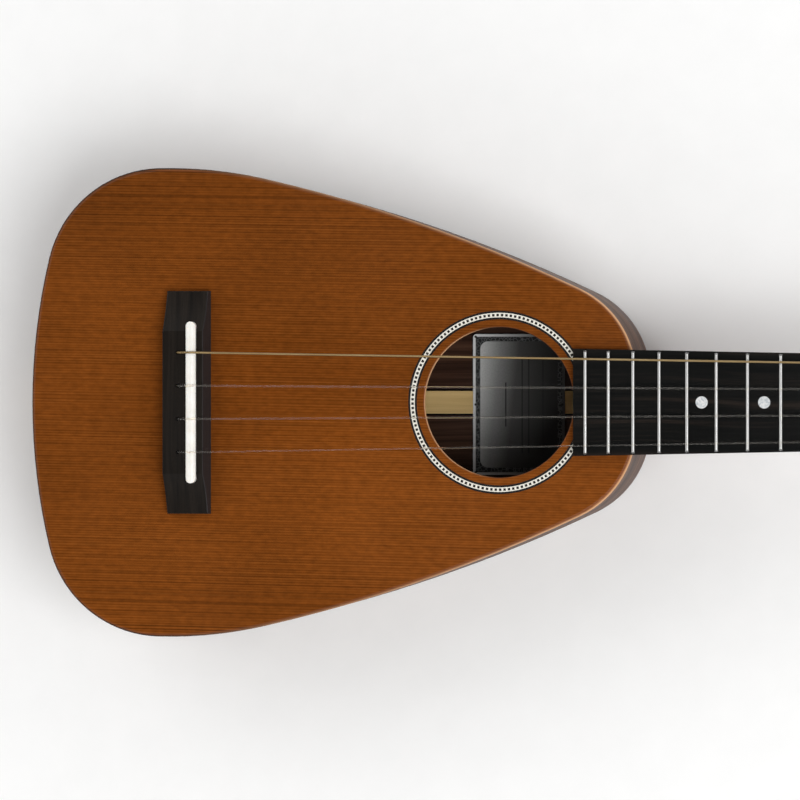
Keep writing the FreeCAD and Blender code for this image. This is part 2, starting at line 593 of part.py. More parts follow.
def head_outline(w):
    """The headstock's plan at height w, as a closed wire."""
    side = [head_point(u, y, w) for u, y in HEAD_HALF]
    curve = Part.BSplineCurve()
    curve.interpolate(side)
    shoulder = head_point(HEAD_SHOULDER[0], HEAD_SHOULDER[1], w)
    half = [curve.toShape(), arc(side[-1], shoulder, head_point(HEAD_LENGTH, 0, w))]
    across = line(side[0], Vector(side[0].x, -side[0].y, side[0].z))
    return Part.Wire(Part.__sortEdges__(half + [mirrored(edge) for edge in half] + [across]))


def head_slab(w0, w1):
    return Part.Face(head_outline(w0)).extrude(head_point(0, 0, w1) - head_point(0, 0, w0))


def neck_side():
    """The neck seen from the side: flat top, tilted head of even thickness, open below the shaft."""
    start = back_plane_start()
    tip, tip_back = head_point(HEAD_LENGTH, 0, 0), head_point(HEAD_LENGTH, 0, -HEAD_T)
    points = [(0, -BIG), (0, TOP_Z), (FACE_X, TOP_Z), (tip.x, tip.z), (tip_back.x, tip_back.z),
              (start, TOP_Z - SHAFT_DEPTH_NUT), (start, -BIG)]
    return polygon_prism([Vector(x, -BIG, z) for x, z in points], Vector(0, 2 * BIG, 0))


def make_neck():
    """Neck with heel, tenon and headstock, and the heel's cap."""
    envelope = Part.makeLoft([neck_section(*station) for station in neck_stations()], True, True)
    solid = envelope.common(neck_side())
    start = back_plane_start()
    shaft = solid.common(box(0, start, -BIG, BIG, -BIG, BIG))
    head = solid.common(box(start, 2 * BIG, -BIG, BIG, -BIG, BIG))
    head = head.common(head_slab(-2 * HEAD_T, HEAD_T))
    solid = shaft.fuse(head).cut(body_prism(0.0, -BIG, BIG))
    cap = solid.common(slab(0, HEEL_CAP_T))
    solid = solid.cut(slab(-BIG, HEEL_CAP_T)).fuse(tenon()).removeSplitter()
    for name in STRING_NAMES:
        solid = solid.cut(bushing_hole(name)).cut(tuner_shape(name, screw_holes(-OVER)))
    return solid, cap


def bushing_hole(name):
    return tuner_shape(name, pin(BUSH_R, 0, 0, -OVER, HEAD_T + VENEER_T + OVER))


def make_veneer():
    veneer = head_slab(0, VENEER_T).cut(box(0, FACE_X, -BIG, BIG, -BIG, BIG))
    for name in STRING_NAMES:
        veneer = veneer.cut(bushing_hole(name))
    return veneer


# ---- tuners: modelled once for the +Y side, then placed ----
def tuner_shape(name, shape):
    """Moves a shape from the tuner's frame to its post, mirrored for the strings on the -Y side."""
    copy = shape.copy()
    copy.rotate(ORIGIN, OUT, math.degrees(HEAD_TILT))
    copy.translate(head_point(POST_U[name], POST_Y, -HEAD_T))
    return copy if STRING_NAMES.index(name) < 2 else mirrored(copy)


def on_worm(y):
    """A point of the worm's axis."""
    return Vector(WORM_U, y, -WORM_DEPTH)


def screw_holes(low):
    return Part.makeCompound([pin(SCREW_R, u, 0, low, SCREW_LENGTH + SCREW_HOLE_EXTRA) for u in SCREW_US])


def make_plate():
    """The tuner's base: a plate with two ears that carry the worm's shaft."""
    plate = box(PLATE_LOW_U, PLATE_HIGH_U, -PLATE_HALF, PLATE_HALF, -PLATE_T, 0)
    plate = plate.makeFillet(PLATE_CORNER, upright_edges(plate))
    for inner in (EAR_INNER, -EAR_INNER - EAR_T):
        ear = box(WORM_U - EAR_HALF, WORM_U + EAR_HALF, inner, inner + EAR_T, -WORM_DEPTH, -PLATE_T / 2)
        plate = plate.fuse(ear).fuse(rod(EAR_HALF, on_worm(inner), OUT, EAR_T))
    plate = plate.removeSplitter()
    plate = plate.cut(rod(SHAFT_R + SHAFT_CLEARANCE, on_worm(-PLATE_HALF), OUT, 2 * PLATE_HALF))
    plate = plate.cut(pin(POST_R + BUSH_CLEARANCE, 0, 0, -PLATE_T - OVER, OVER))
    plate = plate.cut(rod(WORM_OUTER_R + WORM_ROOM, on_worm(-EAR_INNER), OUT, 2 * EAR_INNER))
    return plate.cut(screw_holes(-PLATE_T - OVER))


def make_screws():
    """Two round-headed wood screws with a cross in the head, heads down on the plate."""
    top = -PLATE_T - SCREW_HEAD_H
    dome_r = (SCREW_HEAD_R ** 2 + SCREW_HEAD_H ** 2) / (2 * SCREW_HEAD_H)
    screws = []
    for u in SCREW_US:
        dome = Part.makeSphere(dome_r, Vector(u, 0, top + dome_r))
        head = dome.common(pin(SCREW_HEAD_R + OVER, u, 0, top - OVER, -PLATE_T))
        screw = head.fuse(pin(SCREW_R, u, 0, -PLATE_T, SCREW_LENGTH))
        for x, y in ((CROSS_HALF_LENGTH, CROSS_HALF_WIDTH), (CROSS_HALF_WIDTH, CROSS_HALF_LENGTH)):
            screw = screw.cut(box(u - x, u + x, -y, y, top - OVER, top + CROSS_DEPTH))
        screws.append(screw)
    return Part.makeCompound(screws)


def make_bushing():
    """Front ferrule that the post turns in: a flange on the veneer and a sleeve in the hole."""
    face = HEAD_T + VENEER_T
    top = face + BUSH_FLANGE_T
    flange = pin(BUSH_FLANGE_R, 0, 0, face, top)
    flange = flange.makeFillet(BUSH_ROUND, edges_at(flange, top))
    sleeve = pin(BUSH_R, 0, 0, face - BUSH_DEPTH, face)
    return flange.fuse(sleeve).removeSplitter().cut(pin(POST_R + BUSH_CLEARANCE, 0, 0, 0, top + OVER))


def make_post():
    """String post: a shoulder for the gear at the bottom, a waist for the string above the bushing."""
    shoulder = GEAR_LOW + GEAR_T
    low, high, top = HEAD_T + POST_WAIST_LOW, HEAD_T + POST_WAIST_HIGH, HEAD_T + POST_TOP_W
    profile = ((0, GEAR_LOW), (POST_TAIL_R, GEAR_LOW), (POST_TAIL_R, shoulder), (POST_R, shoulder),
               (POST_R, low - POST_WAIST_SLOPE), (POST_WAIST_R, low), (POST_WAIST_R, high),
               (POST_R, high + POST_WAIST_SLOPE), (POST_R, top - POST_CHAMFER), (POST_R - POST_CHAMFER, top),
               (0, top))
    outline = [Vector(r, 0, z) for r, z in profile]
    post = Part.Face(Part.makePolygon(outline + outline[:1])).revolve(ORIGIN, UP, 360)
    start = Vector(-POST_R - OVER, 0, HEAD_T + POST_HOLE_W)
    post = post.cut(rod(POST_HOLE_R, start, ALONG, 2 * (POST_R + OVER)))
    return post.cut(pin(GEAR_SCREW_R, 0, 0, GEAR_LOW - OVER, GEAR_LOW + GEAR_SCREW_HOLE))


def make_gear():
    """Spur wheel on the post's end. One tooth points at the worm, between two turns of its thread."""
    flank = ((GEAR_R - GEAR_DEDENDUM, TOOTH_HALF_ROOT), (GEAR_R, TOOTH_HALF_PITCH),
             (GEAR_R + GEAR_ADDENDUM, TOOTH_HALF_TIP))
    tooth = [(r, -half / r) for r, half in flank] + [(r, half / r) for r, half in reversed(flank)]
    points = []
    for k in range(TEETH):
        middle = math.pi + 2 * math.pi * k / TEETH
        points += [Vector(r * math.cos(middle + a), r * math.sin(middle + a), GEAR_LOW) for r, a in tooth]
    gear = polygon_prism(points, Vector(0, 0, GEAR_T))
    return gear.cut(pin(POST_TAIL_R, 0, 0, GEAR_LOW - OVER, GEAR_LOW + GEAR_T + OVER))


def make_gear_screw():
    """Slotted screw that holds the gear on the post."""
    low = GEAR_LOW - GEAR_SCREW_HEAD_H
    head = pin(GEAR_SCREW_HEAD_R, 0, 0, low, GEAR_LOW)
    head = head.makeFillet(GEAR_SCREW_ROUND, edges_at(head, low))
    reach = GEAR_SCREW_HEAD_R + OVER
    slot = box(-reach, reach, -GEAR_SLOT_HALF, GEAR_SLOT_HALF, low - OVER, low + GEAR_SLOT_DEPTH)
    return head.fuse(pin(GEAR_SCREW_R, 0, 0, GEAR_LOW, GEAR_LOW + GEAR_SCREW_LENGTH)).cut(slot)


def make_worm():
    """Worm, journals and drive shaft in one piece, along y on the worm's axis."""
    height = WORM_TURNS * WORM_PITCH
    root = WORM_CORE_R - THREAD_SUNK
    corners = ((root, -THREAD_HALF_ROOT), (WORM_OUTER_R, -THREAD_HALF_TIP), (WORM_OUTER_R, THREAD_HALF_TIP),
               (root, THREAD_HALF_ROOT), (root, -THREAD_HALF_ROOT))
    section = Part.makePolygon([Vector(r, 0, z) for r, z in corners])
    helix = Part.Wire(Part.makeHelix(WORM_PITCH, height, root).Edges)
    worm = helix.makePipeShell([section], True, True)
    worm.translate(Vector(0, 0, -height / 2))
    core_half = EAR_INNER - END_PLAY
    worm = worm.fuse(pin(WORM_CORE_R, 0, 0, -core_half, core_half))
    worm.rotate(ORIGIN, ALONG, -90)
    worm.translate(on_worm(0))
    tail = EAR_INNER + EAR_T + END_PLAY + COLLAR_LENGTH
    shaft = rod(SHAFT_R, on_worm(-tail), OUT, tail + BUTTON_START + SHAFT_IN_BUTTON)
    collar = rod(SHAFT_R + COLLAR_RISE, on_worm(-tail), OUT, COLLAR_LENGTH)
    return worm.fuse(shaft).fuse(collar)


def make_button():
    """Oval thumb button with a collar, bored for the end of the worm's shaft."""
    semi = (BUTTON_LENGTH - BUTTON_COLLAR_L) / 2
    low = -WORM_DEPTH - BUTTON_T / 2
    ellipse = Part.Ellipse(ORIGIN, BUTTON_HALF_U, semi)
    oval = Part.Face(Part.Wire([ellipse.toShape()])).extrude(Vector(0, 0, BUTTON_T))
    oval.translate(Vector(WORM_U, BUTTON_START + BUTTON_COLLAR_L + semi, low))
    oval = oval.makeFillet(BUTTON_ROUND, edges_at(oval, low) + edges_at(oval, low + BUTTON_T))
    collar = rod(BUTTON_COLLAR_R, on_worm(BUTTON_START), OUT, BUTTON_COLLAR_L + BUTTON_COLLAR_SUNK)
    return oval.fuse(collar).cut(rod(SHAFT_R, on_worm(0), OUT, BUTTON_START + SHAFT_IN_BUTTON))


# ---- strings ----
def wrap_radius(name):
    return POST_WAIST_R + STRING_DIAMETER[name] / 2 + STRING_GAP


def make_winding(name):
    """The string's turns round its post and its clipped end in the post's hole, in the tuner's frame."""
    radius, diameter = wrap_radius(name), STRING_DIAMETER[name]
    pitch = diameter + WRAP_GAP
    helix = Part.Wire(Part.makeHelix(pitch, pitch * WRAP_TURNS, radius).Edges)
    section = Part.Wire([Part.Circle(Vector(radius, 0, 0), OUT, diameter / 2).toShape()])
    coil = helix.makePipeShell([section], True, True)
    coil.translate(Vector(0, 0, HEAD_T + WRAP_W - pitch * WRAP_TURNS))
    tail = rod(diameter / 2, Vector(-POST_R, 0, HEAD_T + POST_HOLE_W), ALONG, POST_R + WRAP_TAIL)
    return Part.makeCompound([coil, tail])


def run_to_post(name, nut):
    """Where the straight run from the nut touches the winding, for a post on the +Y side."""
    c, s = math.cos(HEAD_TILT), math.sin(HEAD_TILT)
    nut_u = (nut.x - FACE_X) * c - (nut.z - TOP_Z) * s
    du, dy = POST_U[name] - nut_u, POST_Y - nut.y
    distance = math.hypot(du, dy)
    bearing = math.atan2(dy, du) - math.asin(wrap_radius(name) / distance)
    reach = math.sqrt(distance ** 2 - wrap_radius(name) ** 2)
    return head_point(nut_u + reach * math.cos(bearing), nut.y + reach * math.sin(bearing), WRAP_W)


def string_route(name):
    """Points of the string: knot, top of the bridge's hole, saddle, nut, and where it meets its winding."""
    radius = STRING_DIAMETER[name] / 2
    side = 1 if STRING_NAMES.index(name) < 2 else -1
    saddle_y = abs(string_y(name, STRING_SPACING_SADDLE))
    knot = Vector(STRING_HOLE_X, saddle_y, INNER_TOP_Z - PATCH_T - KNOT_DROP)
    mouth = Vector(STRING_HOLE_X, saddle_y, TOP_Z + BRIDGE_H + STRING_EXIT_RISE)
    saddle = Vector(SADDLE_X, saddle_y, TOP_Z + SADDLE_TOP + radius + SADDLE_RISE)
    nut_z = TOP_Z + NUT_STRING_H + radius + STRING_GAP
    nut = Vector(NUT_X + NUT_REST, abs(string_y(name, STRING_SPACING_NUT)), nut_z)
    return [Vector(p.x, side * p.y, p.z) for p in (knot, mouth, saddle, nut, run_to_post(name, nut))]


def rounded_path(points, radii):
    """Straight runs through the points, joined by tangent arcs of the given radii."""
    edges, start = [], points[0]
    for k, radius in enumerate(radii, 1):
        into, out = (points[k] - points[k - 1]), (points[k + 1] - points[k])
        into.normalize()
        out.normalize()
        turn = into.getAngle(out)
        reach = radius * math.tan(turn / 2)
        first, last = points[k] - into * reach, points[k] + out * reach
        bisector = out - into
        bisector.normalize()
        middle = points[k] + bisector * (radius / math.cos(turn / 2) - radius)
        edges += [line(start, first), arc(first, middle, last)]
        start = last
    return Part.Wire(edges + [line(start, points[-1])])


def make_string(name):
    """A string with its knot under the bridge; its far end is hollowed to clear the winding's turns."""
    radius = STRING_DIAMETER[name] / 2
    points = string_route(name)
    section = Part.Wire([Part.Circle(points[0], UP, radius).toShape()])
    tube = rounded_path(points, STRING_BEND_RADII).makePipeShell([section], True, False)
    room = pin(wrap_radius(name) + radius + WRAP_CLEARANCE, 0, 0, HEAD_T, HEAD_T + POST_TOP_W)
    tube = tube.cut(tuner_shape(name, room))
    knot_z = INNER_TOP_Z - PATCH_T - KNOT_R - STRING_GAP
    return tube.fuse(Part.makeSphere(KNOT_R, Vector(points[0].x, points[0].y, knot_z)))


# ---- output ----
def save(name, shape):
    solids = shape.Solids
    if not solids or not all(solid.isValid() and solid.Volume > 0 for solid in solids):
        raise RuntimeError(f"{name}: not a set of valid solids")
    shape = solids[0] if len(solids) == 1 else Part.makeCompound(solids)
    shape = shape.copy()
    shape.translate(Vector(-body_length() / 2, 0, 0))
    shape.exportStep(f"parts/{name}.step")
    print(f"{name}: {len(solids)} solid(s), {shape.Volume / 1000:.2f} cm3")


def body_pieces():
    block = rounded_body()
    pieces = {"soundboard": make_soundboard(block)}
    pieces["rosette_lines"], pieces["rosette_band"] = make_rosette()
    pieces["back_bass_half"], pieces["back_treble_half"], pieces["back_centre_inlay"] = make_back(block)
    pieces["side_bass"], pieces["side_treble"], pieces["tail_graft"] = make_sides(block)
    pieces["neck_block"], pieces["tail_block"] = make_blocks()
    blocks = (pieces["neck_block"].fuse(tenon()), pieces["tail_block"])
    pieces["top_linings"], pieces["back_linings"] = make_linings(blocks)
    pieces["bridge_patch"] = make_patch()
    pieces["face_braces"] = make_face_braces()
    pieces["fan_braces"] = make_fan_braces(pieces["bridge_patch"])
    pieces["back_braces"] = make_back_braces()
    pieces["back_inner_strip"] = make_inner_strip()
    pieces["label"] = make_label()
    pieces["bridge"] = make_bridge()
    pieces["saddle"] = make_saddle()
    return pieces


def neck_pieces():
    pieces = {}
    pieces["neck"], pieces["heel_cap"] = make_neck()
    pieces["fretboard"], pieces["fret_dots"], pieces["side_dots"] = make_fretboard()
    pieces["frets"] = Part.makeCompound([make_fret(number) for number in range(1, FRET_COUNT + 1)])
    pieces["nut"] = make_nut()
    pieces["headstock_veneer"] = make_veneer()
    return pieces


def tuner_pieces():
    """The fixed pieces in groups of four, and each moving piece in a node of its own."""
    pieces = {}
    fixed = {"tuner_plates": make_plate(), "tuner_bushings": make_bushing(), "tuner_screws": make_screws()}
    for node, shape in fixed.items():
        pieces[node] = Part.makeCompound([tuner_shape(name, shape) for name in STRING_NAMES])
    moving = {"button": make_button(), "worm": make_worm(), "gear": make_gear(), "post": make_post()}
    moving["gear_screw"] = make_gear_screw()
    for name in STRING_NAMES:
        for node, shape in moving.items():
            pieces[f"{node}_{name}"] = tuner_shape(name, shape)
        pieces[f"winding_{name}"] = tuner_shape(name, make_winding(name))
        pieces[f"string_{name}"] = make_string(name)
    return pieces


def main():
    os.makedirs("parts", exist_ok=True)
    for group in (body_pieces(), neck_pieces(), tuner_pieces()):
        for name, shape in group.items():
            save(name, shape)


if __name__ == "__main__":
    main()
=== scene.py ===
"""Looks of a tenor ukulele: materials, the rosette's ring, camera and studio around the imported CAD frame."""

import math

import bmesh
import bpy
from mathutils import Matrix, Vector


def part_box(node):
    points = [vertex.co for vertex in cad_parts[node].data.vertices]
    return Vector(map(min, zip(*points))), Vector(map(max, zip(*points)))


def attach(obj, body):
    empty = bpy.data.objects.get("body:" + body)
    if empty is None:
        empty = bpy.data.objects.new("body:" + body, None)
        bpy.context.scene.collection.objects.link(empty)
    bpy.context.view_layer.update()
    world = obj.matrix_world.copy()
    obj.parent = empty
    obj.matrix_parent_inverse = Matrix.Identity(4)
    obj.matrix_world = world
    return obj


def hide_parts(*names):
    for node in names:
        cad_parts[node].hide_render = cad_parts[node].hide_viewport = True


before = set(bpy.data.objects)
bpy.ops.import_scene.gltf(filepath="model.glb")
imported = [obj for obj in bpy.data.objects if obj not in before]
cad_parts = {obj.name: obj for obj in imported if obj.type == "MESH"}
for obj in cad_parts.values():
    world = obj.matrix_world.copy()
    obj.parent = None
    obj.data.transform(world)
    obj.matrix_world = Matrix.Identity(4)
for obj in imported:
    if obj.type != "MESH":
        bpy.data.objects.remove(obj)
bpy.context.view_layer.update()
STRINGS = ("g", "c", "e", "a")
MM = 0.001

# ---- sizes ----
GRAIN_PITCH = 1.15 * MM                                 # from one ring of the cedar to the next
GRAIN_DRIFT = 4 * MM                                    # how far the rings wander sideways
GRAIN_SKEW = math.tan(math.radians(1.2))                # their slope against the centre line
DARK_RINGS_START, DARK_RINGS_FULL = 72 * MM, 98 * MM    # distances from the centre line
PAINTED_SHADE_REACH = 50 * MM                                    # there the painted shade leaves the treble side palest and the bass side darkest
WOOD_BEND = 9 * MM                                      # how far a hardwood's streaks wander

RING_WIDTH, RING_LINE = 2.3 * MM, 0.15 * MM             # the rosette's white ring and its thin black edges
SQUARE, SQUARE_PITCH = 1.1 * MM, 1.95 * MM
SQUARE_SHARE = 0.56                                     # the part of each pitch that is black

SOFT = 0.12 * MM                                        # blur of a printed edge
SILVER_EDGE, PIN_RADIUS, RULE_WIDTH = 1.2 * MM, 0.55 * MM, 0.6 * MM
PANEL_INSET, PANEL_CORNER = 3.3 * MM, 3.6 * MM
SHORT_RULE, LONG_RULE = 20 * MM, 44 * MM
LABEL_RULES = ((-6.0 * MM, SHORT_RULE), (1.5 * MM, LONG_RULE), (4.5 * MM, LONG_RULE), (11.0 * MM, LONG_RULE))
STRIP_LINE = 0.95 * MM                                  # black line along each edge of the back's pale strip
STRIP_LINE_DEPTHS = (0.5 * MM, 0.3 * MM)                # below the strip's foot, where the line fades in
FINE_RELIEF, THIN_RELIEF, HAIR_RELIEF, WRAP_RELIEF = 0.3 * MM, 0.2 * MM, 0.1 * MM, 0.12 * MM    # bumps

# ---- colours, in linear light ----
CEDAR = dict(dark=(0.128, 0.0320, 0.0038), middle=(0.178, 0.0475, 0.0062), light=(0.222, 0.066, 0.0105))
# painted highlight on the cedar's edge where it faces the neck, and painted shade as its dark outline
# elsewhere
CEDAR_RIM_PAINTED_HIGHLIGHT, CEDAR_OUTLINE_PAINTED_SHADE = (0.74, 0.42, 0.22), (0.02, 0.008, 0.004)
ROSEWOOD = dict(dark=(0.015, 0.0070, 0.005), middle=(0.057, 0.0265, 0.0165), light=(0.114, 0.056, 0.034))
SIDE_ROSEWOOD = dict(dark=(0.024, 0.0115, 0.0075), middle=(0.105, 0.050, 0.029), light=(0.21, 0.108, 0.064))
EBONY = dict(dark=(0.0016, 0.0020, 0.0019), middle=(0.0036, 0.0037, 0.0033), light=(0.0150, 0.0110, 0.0088))
BRIDGE_EBONY = dict(dark=(0.0050, 0.0036, 0.0026), middle=(0.0100, 0.0072, 0.0052),
                    light=(0.0160, 0.0118, 0.0088))
# painted highlight on the bridge's slope that faces the neck
EBONY_SLOPE_PAINTED_HIGHLIGHT = (0.021, 0.0175, 0.0175)
MAHOGANY = dict(dark=(0.075, 0.021, 0.008), middle=(0.135, 0.043, 0.016), light=(0.19, 0.067, 0.027))
MAPLE = dict(dark=(0.38, 0.20, 0.075), middle=(0.52, 0.31, 0.13), light=(0.62, 0.40, 0.19))
PALE_STRIP = dict(dark=(0.74, 0.50, 0.195), light=(0.90, 0.64, 0.28))
LINING_WOOD = dict(dark=(0.36, 0.20, 0.08), light=(0.50, 0.31, 0.14))
BLOCK_WOOD = dict(dark=(0.16, 0.06, 0.022), light=(0.26, 0.11, 0.045))
BRACE_WOOD = dict(dark=(0.42, 0.26, 0.115), light=(0.58, 0.40, 0.20))
BONE = dict(dark=(0.86, 0.83, 0.76), light=(0.95, 0.94, 0.90))
PEARL_BLUE, PEARL_GREY, PEARL_WARM = (0.42, 0.46, 0.49), (0.66, 0.68, 0.68), (0.80, 0.785, 0.765)
# the last is painted shade on the frets' sides
SILVER, SILVER_TARNISH, SILVER_FLANKS_PAINTED_SHADE = (0.58, 0.58, 0.57), (0.50, 0.49, 0.47), (0.06, 0.06, 0.06)
NICKEL, NICKEL_TARNISH = (0.70, 0.68, 0.64), (0.40, 0.36, 0.30)
BRASS, BRASS_TARNISH = (0.68, 0.47, 0.18), (0.34, 0.20, 0.07)
WIRE = dict(dark=(0.305, 0.205, 0.092), light=(0.41, 0.30, 0.148))
# painted shade in the grooves between the wound string's turns
WIRE_GAP_PAINTED_SHADE = (0.07, 0.045, 0.02)
CLEAR_LINE = dict(dark=(0.95, 0.915, 0.86), light=(0.98, 0.945, 0.89))
BUTTON_BLACK, BUTTON_WORN = (0.008, 0.008, 0.009), (0.028, 0.028, 0.029)
# painted reflection and shade across the label's panel, from silver near the tail and bass side to black near
# the neck and treble side
LABEL_PAINTED_REFLECTION_FADE = ((0.06, (0.64, 0.65, 0.64)), (0.26, (0.28, 0.285, 0.28)), (0.46, (0.075, 0.074, 0.071)),
              (0.85, (0.017, 0.016, 0.014)))
LABEL_INK, LABEL_PIN = (0.012, 0.012, 0.012), (0.01, 0.01, 0.01)
BORDER_DARK, BORDER_CURL = (0.012, 0.013, 0.013), (0.16, 0.165, 0.165)
# painted highlight and shade along the label's silver edge
EDGE_PAINTED_HIGHLIGHT, EDGE_PAINTED_SHADE = (0.94, 0.95, 0.95), (0.10, 0.10, 0.10)
STRIP_LINE_BLACK = (0.004, 0.003, 0.003)
ROSETTE_BLACK = dict(dark=(0.005, 0.004, 0.004), light=(0.012, 0.010, 0.009))
ROSETTE_WHITE = dict(dark=(0.74, 0.71, 0.62), light=(0.88, 0.86, 0.78))
PAPER = dict(dark=(0.96, 0.96, 0.955), light=(0.985, 0.985, 0.98))

# ---- camera and studio ----
CAMERA_DISTANCE, CAMERA_TILT = 2.0, math.radians(8.5)   # the tilt moves the camera towards the neck
CAMERA_LENS, CAMERA_SENSOR = 204.06, 36.0               # in millimetres, as Blender wants them
CAMERA_CLIP = (0.05, 50.0)
CAMERA_TARGET = Vector((0.03094, 0.00105, 0.070))
KEY_LIGHT = dict(name="key", place=(0.90, -0.55, 1.95), size=1.25, power=25)
FILL_LIGHT = dict(name="fill", place=(-1.6, 1.0, 1.5), size=2.0, power=14)
LIGHT_TARGET = Vector((0, 0, 0.05))
SKY_FADE_LOW, SKY_FADE_HIGH = math.radians(34), math.radians(70)
SKY_BRIGHT, SKY_DARK = 0.90, 0.02
FLOOR_HALF, FLOOR_Z = 6.0, -0.2 * MM


# ---- a small shader builder ----
class Shader:
    """One procedural material. A node's inputs take numbers, colours or other sockets."""

    def __init__(self, name):
        self.material = bpy.data.materials.new(name)
        self.material.use_nodes = True
        self.tree = self.material.node_tree
        self.tree.nodes.clear()
        self.bsdf = self.tree.nodes.new("ShaderNodeBsdfPrincipled")
        output = self.tree.nodes.new("ShaderNodeOutputMaterial")
        self.tree.links.new(self.bsdf.outputs["BSDF"], output.inputs["Surface"])
        self.place = self.tree.nodes.new("ShaderNodeTexCoord").outputs["Object"]

    def node(self, kind, output=0, inputs=None, **settings):
        made = self.tree.nodes.new("ShaderNode" + kind)
        for key, value in settings.items():
            setattr(made, key, value)
        for key, value in (inputs or {}).items():
            self.connect(made.inputs[key], value)
        return made.outputs[output]

    def connect(self, socket, value):
        if isinstance(value, bpy.types.NodeSocket):
            self.tree.links.new(value, socket)
        elif socket.type == "RGBA" and len(value) == 3:
            socket.default_value = (*value, 1.0)
        else:
            socket.default_value = value

    def math(self, operation, a, b=0.0):
        return self.node("Math", inputs={0: a, 1: b}, operation=operation)

    def add(self, a, b):
        return self.math("ADD", a, b)

    def subtract(self, a, b):
        return self.math("SUBTRACT", a, b)

    def multiply(self, a, b):
        return self.math("MULTIPLY", a, b)

    def absolute(self, value):
        return self.math("ABSOLUTE", value)

    def length(self, a, b):
        """Length of the vector that has these two components."""
        return self.math("SQRT", self.add(self.multiply(a, a), self.multiply(b, b)))

    def vector(self, x, y, z):
        return self.node("CombineXYZ", inputs={"X": x, "Y": y, "Z": z})

    def component(self, vector, name):
        return self.node("SeparateXYZ", output=name, inputs={"Vector": vector})

    def axis(self, name):
        return self.component(self.place, name)

    def facing(self, name):
        """The surface normal along one axis: 1 where the surface looks that way, 0 where square to it."""
        return self.component(self.node("NewGeometry", output="Normal"), name)

    def stretched(self, x, y, z, vector=None):
        """Object coordinates in pattern cells per metre, so a larger number is a finer pattern that way."""
        source = self.place if vector is None else vector
        return self.node("Mapping", inputs={"Vector": source, "Scale": (x, y, z)})

    def noise(self, vector, detail=4.0, roughness=0.55, distortion=0.0):
        return self.node("TexNoise", inputs={"Vector": vector, "Scale": 1.0, "Detail": detail,
                                             "Roughness": roughness, "Distortion": distortion})

    def ramp(self, factor, *stops):
        """Each stop is (position, colour or grey level)."""
        made = self.tree.nodes.new("ShaderNodeValToRGB")
        self.connect(made.inputs["Fac"], factor)
        elements = made.color_ramp.elements
        while len(elements) < len(stops):
            elements.new(1.0)
        for element, (position, colour) in zip(elements, stops):
            element.position = position
            grey = isinstance(colour, (int, float))
            element.color = (colour, colour, colour, 1.0) if grey else (*colour, 1.0)
        return made.outputs["Color"]

    def mix(self, factor, a, b, blend="MIX"):
        made = self.tree.nodes.new("ShaderNodeMix")
        made.data_type = "RGBA"
        made.blend_type = blend
        self.connect(made.inputs[0], factor)
        self.connect(made.inputs[6], a)
        self.connect(made.inputs[7], b)
        return made.outputs[2]

    def shade(self, colour, factor):
        """A colour times a factor."""
        return self.mix(1.0, colour, factor, "MULTIPLY")

    def span(self, value, low, high, to_low=0.0, to_high=1.0):
        """Where the value lies between low and high, as a number from to_low to to_high."""
        return self.node("MapRange", inputs={"Value": value, "From Min": low, "From Max": high,
                                             "To Min": to_low, "To Max": to_high})

    def vary(self, pattern, low, high):
        """A number from low to high, over the levels that a noise really reaches."""
        return self.span(pattern, 0.3, 0.7, low, high)

    def tint(self, pattern, dark, light):
        """A colour from dark to light, over the levels that a noise really reaches."""
        return self.ramp(pattern, (0.3, dark), (0.7, light))

    def grey(self, value):
        """A number as a colour."""
        return self.node("CombineColor", inputs={"Red": value, "Green": value, "Blue": value})

    def bump(self, height, strength, distance):
        return self.node("Bump", inputs={"Height": height, "Strength": strength, "Distance": distance})

    def finish(self, **values):
        for key, value in values.items():
            self.connect(self.bsdf.inputs[key.replace("_", " ")], value)
        return self.material

    def repaint(self, amount, colour):
        """Mixes one more colour into a material that is finished."""
        painted = self.bsdf.inputs["Base Color"].links[0].from_socket
        return self.finish(Base_Color=self.mix(amount, painted, colour))


# ---- woods ----
def cedar():
    """Glossy red cedar, bookmatched near the centre line, with fine straight grain a little askew to X."""
    s = Shader("cedar_top")
    along = s.axis("X")
    across = s.absolute(s.add(s.axis("Y"), s.multiply(along, GRAIN_SKEW)))
    half = s.vector(along, across, 0.0)
    drift = s.subtract(s.noise(s.stretched(1.6, 30, 1, half), detail=1), 0.5)
    line = s.add(across, s.multiply(drift, GRAIN_DRIFT))
    warped = s.vector(along, line, 0.0)
    even = s.span(s.math("SINE", s.multiply(line, 2 * math.pi / GRAIN_PITCH)), -1.0, 1.0)
    loose = s.noise(s.stretched(0.5, 1150, 1, warped), detail=2, roughness=0.5)
    rings = s.add(s.multiply(even, 0.3), s.multiply(loose, 0.7))
    colour = s.ramp(rings, (0.26, CEDAR["dark"]), (0.50, CEDAR["middle"]), (0.74, CEDAR["light"]))
    colour = cedar_patches(s, colour, half)
    colour = cedar_dark_rings(s, colour, across, warped)
    colour = cedar_tones_and_painted_shade(s, colour, half)
    return cedar_edges(s, colour, rings)


def cedar_patches(s, colour, half):
    """Calm patches, in which the rings show less."""
    calm = s.noise(s.stretched(13, 75, 1, half), detail=2)
    return s.mix(s.span(calm, 0.38, 0.62, 0.0, 0.45), colour, CEDAR["middle"])


def cedar_dark_rings(s, colour, across, warped):
    """Wider dark rings, which grow stronger towards the outer edges."""
    wide_rings = s.noise(s.stretched(0.4, 560, 1, warped), detail=1)
    strength = s.span(across, DARK_RINGS_START, DARK_RINGS_FULL, 0.2, 0.9)
    return s.mix(strength, colour, s.shade(colour, s.ramp(wide_rings, (0.40, 0.55), (0.50, 1.0))))


